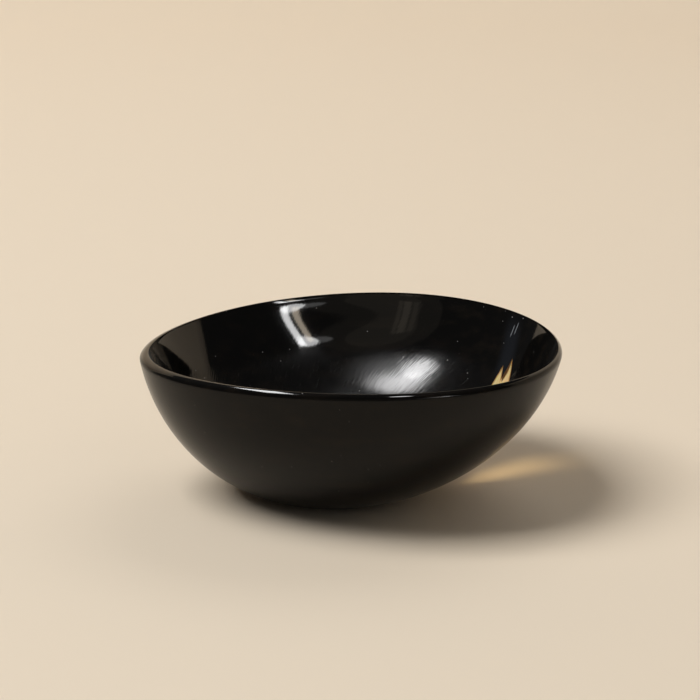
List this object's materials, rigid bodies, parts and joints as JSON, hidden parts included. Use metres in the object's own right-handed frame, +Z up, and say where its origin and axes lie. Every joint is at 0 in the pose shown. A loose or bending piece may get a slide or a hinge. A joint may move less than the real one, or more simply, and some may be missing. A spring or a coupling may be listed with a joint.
{
  "type": "horn bowl",
  "caption": "Shallow oval bowl of polished dark horn with a rounded lip, a flat foot and a pale translucent streak through the wall at its wide end.",
  "frame": {"origin": "on the flat foot that the bowl rests on, under the lowest point of the hollow", "axes": "+X along the bowl's length towards its wide end, +Y across it, +Z up out of the hollow"},
  "size_m": [0.1501, 0.122, 0.0564],
  "materials": {
    "dark_horn": "polished near-black horn",
    "pale_horn": "polished translucent amber horn"
  },
  "bodies": {
    "root": {"dark_horn_shell": "dark_horn", "pale_horn_streak": "pale_horn"}
  },
  "joints": []
}
